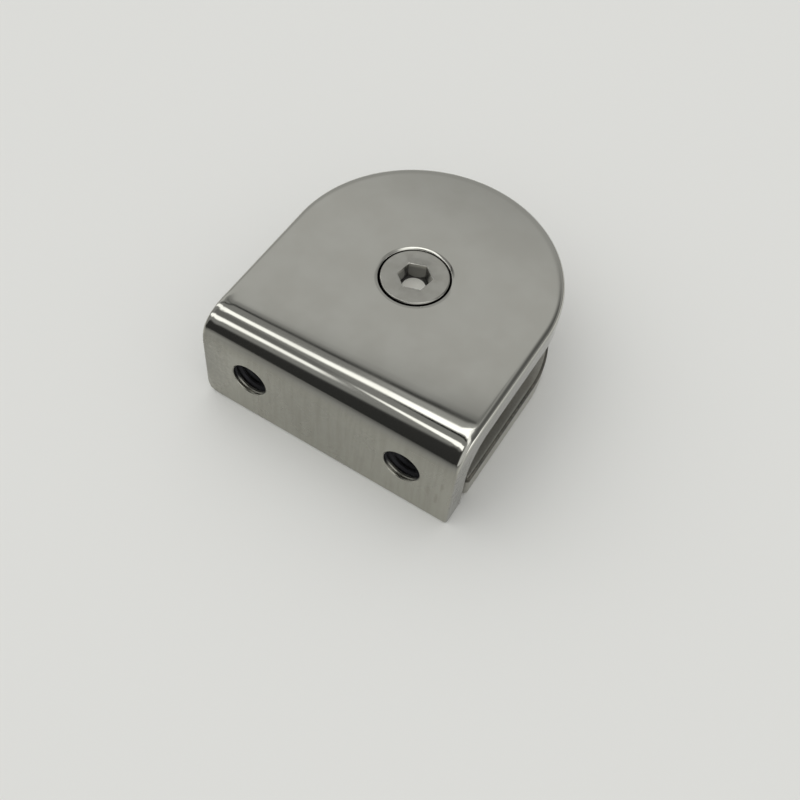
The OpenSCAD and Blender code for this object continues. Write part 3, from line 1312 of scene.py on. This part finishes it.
def worn_corners(tree, place):
    """The height of the jaw's top about its two front corners."""
    x, _, z = node(tree, "ShaderNodeSeparateXYZ", {0: place}).outputs
    heights = []
    for side in (-1, 1):
        centre = (side * (half_width - CORNER_IN), front_y + CORNER_BACK, top_z)
        heights.append(use(tree, soft_corner, {"Position": place, "Centre": centre, "Side": side}))
    on_top = smooth_step(tree, z, *JAW_TOP)
    inside_rim = smooth_step(tree, maths(tree, "ABSOLUTE", x), *INSIDE_RIM)
    return fold(tree, "MULTIPLY", (fold(tree, "ADD", heights), on_top, inside_rim))


print("corners are worn from", round(CORNER_IN / MM, 1), "mm inside the rim outwards")

# %% [markdown]
# ## Polished and brushed steel
#
# The jaw and the corner are polished like a mirror, with a slight waviness. The web below the
# corner is only brushed, so its reflections are soft and its colour is a little warmer, with faint
# upright lines. The two end faces are duller. All of these belong to one solid and therefore to
# one material, in which the place on the body decides between them. Two materials would need a
# seam, and the real finishes run into each other.

# %% Polished and brushed steel
# Where each finish begins to show, and where it is all there.
BRUSHED_HEIGHT = (17.6 * MM, 15.2 * MM)
WEB_DEPTH = (web_back_y + 0.5 * MM, web_back_y)
FACE_DEPTH = (front_y + 0.6 * MM, front_y + 0.1 * MM)
END_FACES = (half_width - 0.3 * MM, half_width - 0.02 * MM)
POLISHED_ROUGHNESS = 0.07
BRUSHED_ROUGHNESS = 0.26
PAINTED_SHADE_ROUGHNESS = 0.6
WAVE_DEPTH = 0.006 * MM
BRUSH_DEPTH = 0.005 * MM


def polished_steel():
    steel, tree, shader, place = new_steel("polished_steel_look")
    x, y, z = node(tree, "ShaderNodeSeparateXYZ", {0: place}).outputs
    low = smooth_step(tree, z, *BRUSHED_HEIGHT)
    on_web = smooth_step(tree, y, *WEB_DEPTH)
    brushed = maths(tree, "MULTIPLY", low, on_web)
    on_face = smooth_step(tree, y, *FACE_DEPTH)
    on_end = smooth_step(tree, maths(tree, "ABSOLUTE", x), *END_FACES)

    cloud = use(tree, slow_change, {"Position": place, "Patches Per Metre": 160.0, "Detail": 2.0})
    waviness = use(tree, slow_change, {"Position": place, "Patches Per Metre": 90.0, "Detail": 0.0})
    brush = use(tree, steel_grain, {"Position": place, "Lines Per Metre": (2600, 2600, 90)})
    lines = use(tree, steel_grain, {"Position": place, "Lines Per Metre": (1500, 300, 120)})
    lines = maths(tree, "MULTIPLY", smooth_step(tree, lines, 0.35, 0.75), brushed)
    streaks = web_spots(tree, place, BROWN_STREAKS, "MAXIMUM")
    dull = maths(tree, "MULTIPLY", web_spots(tree, place, DULL_PATCHES, "ADD"), brushed)
    # Painted shade in the fixing holes and the screw's seat.
    painted_shade = body_painted_shade(tree, place)

    colour = mix_colour(tree, brushed, POLISHED, BRUSHED)
    colour = tint(tree, colour, [
        (on_end, 1, ENDS),
        (cloud, 0.10, BROWN),
        (lines, 0.22, BROWN),
        (streaks, 1, BROWN),
        (dull, 1, SHADE_AND_DULL),
        (painted_shade, 1, SHADE_AND_DULL),
    ])
    tree.links.new(colour, shader.inputs["Base Color"])
    roughness = mix_value(tree, brushed, POLISHED_ROUGHNESS, BRUSHED_ROUGHNESS)
    roughness = maths(tree, "MULTIPLY_ADD", cloud, 0.02, roughness)
    roughness = mix_value(tree, painted_shade, roughness, PAINTED_SHADE_ROUGHNESS)
    tree.links.new(roughness, shader.inputs["Roughness"])
    brush_height = fold(tree, "MULTIPLY", (brush, brushed, on_face))
    worn = worn_corners(tree, place)
    bumps(tree, shader, [(worn, 1.0), (waviness, WAVE_DEPTH), (brush_height, BRUSH_DEPTH)])
    return steel


polished = polished_steel()
print("polished steel uses", len(polished.node_tree.nodes), "nodes")

# %% [markdown]
# ## Plain steel
#
# The pressure plate works under the glass, so its steel is left plain. Most of it is hidden, and
# its top is given the straight marks that a milling cutter leaves. Its sides have a fine speckle,
# and its upper edge is painted nearly black, as painted shade under the jaw. Its tapped hole is
# painted darker with depth, as painted shade. The height on the plate decides between top, edge
# and side.

# %% Milled steel
PLATE_TOP = (plate_high.z - 0.08 * MM, plate_high.z - 0.02 * MM)
PLATE_SIDE = (plate_high.z - 0.7 * MM, plate_high.z - 1.2 * MM)
EDGE_ROUGHNESS = 0.4
SIDE_ROUGHNESS = 0.32
TOP_ROUGHNESS = 0.42
CUTTER_DEPTH = 0.02 * MM


def milled_steel():
    steel, tree, shader, place = new_steel("plain_steel_look")
    # Painted shade in the plate's tapped hole.
    painted_shade = use(tree, recess, {
        "Position": place, "Mouth": (0, screw_y, plate_high.z), "Inwards": (0, 0, -1),
        "Radius": 4.2 * MM, "Starts": 0.2 * MM, "Full": 1.2 * MM,
    })
    cloud = use(tree, slow_change, {"Position": place, "Patches Per Metre": 220.0, "Detail": 3.0})
    speckle = use(tree, slow_change, {"Position": place, "Patches Per Metre": 2200.0, "Detail": 2.0})
    cutter_marks = use(tree, steel_grain, {"Position": place, "Lines Per Metre": (120, 2200, 1200)})
    z = node(tree, "ShaderNodeSeparateXYZ", {0: place}).outputs["Z"]
    on_top = smooth_step(tree, z, *PLATE_TOP)
    on_side = smooth_step(tree, z, *PLATE_SIDE)

    # The upper edge is painted nearly black, as painted shade under the jaw.
    colour = mix_colour(tree, on_side, PAINTED_SHADE_RIM, MILLED)
    colour = tint(tree, colour, [
        (on_top, 1, FACED),
        (cloud, 0.3, BROWN),
        (speckle, 0.25, BROWN),
        (painted_shade, 1, SHADE_AND_DULL),
    ])
    tree.links.new(colour, shader.inputs["Base Color"])
    roughness = mix_value(tree, on_side, EDGE_ROUGHNESS, SIDE_ROUGHNESS)
    roughness = mix_value(tree, on_top, roughness, TOP_ROUGHNESS)
    roughness = maths(tree, "MULTIPLY_ADD", cutter_marks, 0.08, roughness)
    tree.links.new(roughness, shader.inputs["Roughness"])
    bumps(tree, shader, [(cutter_marks, CUTTER_DEPTH)])
    return steel


plain = milled_steel()
print("milled steel uses", len(plain.node_tree.nodes), "nodes")

# %% [markdown]
# ## Turned steel
#
# The screw's head shows the rings of its lathe tool. Inside the socket the walls are painted dark,
# as painted shade, and the floor carries a painted pool of light, pale and dull. The pale mark isn't
# treated as metal, because a rough metal in a hole would only mirror its dark walls.

# %% Turned steel
SOCKET_FLOOR = (-0.2 * MM, screw_y + 0.4 * MM, head_z)
SHANK_HEIGHT = (head_seat_z + 0.1 * MM, head_seat_z - 0.2 * MM)
HEAD_ROUGHNESS = (0.16, 0.22)
SHANK_ROUGHNESS = 0.35
SOCKET_LIGHT_ROUGHNESS = 0.6
RING_DEPTH = 0.006 * MM


def lathe_steel():
    steel, tree, shader, place = new_steel("turned_steel_look")
    z = node(tree, "ShaderNodeSeparateXYZ", {0: place}).outputs["Z"]
    head_top = (0, screw_y, head_z)
    # Painted shade on the socket's walls.
    socket_shade = use(tree, recess, {
        "Position": place, "Mouth": head_top, "Radius": 3.3 * MM, "Starts": 0.15 * MM, "Full": 1.0 * MM,
    })
    # Painted light: a pale pool on the socket's floor.
    socket_light = use(tree, recess, {
        "Position": place, "Mouth": SOCKET_FLOOR, "Radius": 2.15 * MM,
        "Starts": socket_depth - 0.05 * MM, "Full": socket_depth - 0.01 * MM,
    })
    below = smooth_step(tree, z, *SHANK_HEIGHT)
    rings = use(tree, turned_rings, {"Position": place, "Centre": head_top, "Rings Per Metre": 5000.0})
    cloud = use(tree, slow_change, {"Position": place, "Patches Per Metre": 500.0, "Detail": 2.0})

    colour = tint(tree, TURNED, [(cloud, 0.15, BROWN), (socket_shade, 0.6, SHADE_AND_DULL), (socket_light, 1, PAINTED_SOCKET_LIGHT)])
    tree.links.new(colour, shader.inputs["Base Color"])
    tree.links.new(maths(tree, "SUBTRACT", 1, socket_light), shader.inputs["Metallic"])
    roughness = mix_value(tree, below, mix_value(tree, cloud, *HEAD_ROUGHNESS), SHANK_ROUGHNESS)
    roughness = mix_value(tree, socket_light, roughness, SOCKET_LIGHT_ROUGHNESS)
    tree.links.new(roughness, shader.inputs["Roughness"])
    on_head = maths(tree, "SUBTRACT", 1, below)
    bumps(tree, shader, [(maths(tree, "MULTIPLY", rings, on_head), RING_DEPTH)])
    return steel


turned_steel = lathe_steel()
print("turned steel uses", len(turned_steel.node_tree.nodes), "nodes")

# %% [markdown]
# ## Seating
#
# Each piece takes the place of one solid of the drawing, gets a steel of its own, and rides on the
# body that moves it. The pressure plate rises while the screw turns. The pieces could also be
# parented by hand, but then the motion would have to be written a second time.

# %% Seating
for piece, body, slot, node_name, steel in (
    (clamp_body, "body", "polished_steel", "clamp_body", polished),
    (pressure_plate, "plate", "plain_steel", "pressure_plate", plain),
    (clamp_screw, "screw", "screw_steel", "clamp_screw", turned_steel),
):
    piece.data.materials.clear()
    piece.data.materials.append(steel)
    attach(piece, body)
    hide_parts(node_name)
    print(piece.name, "rides on", body, "in place of", node_name)
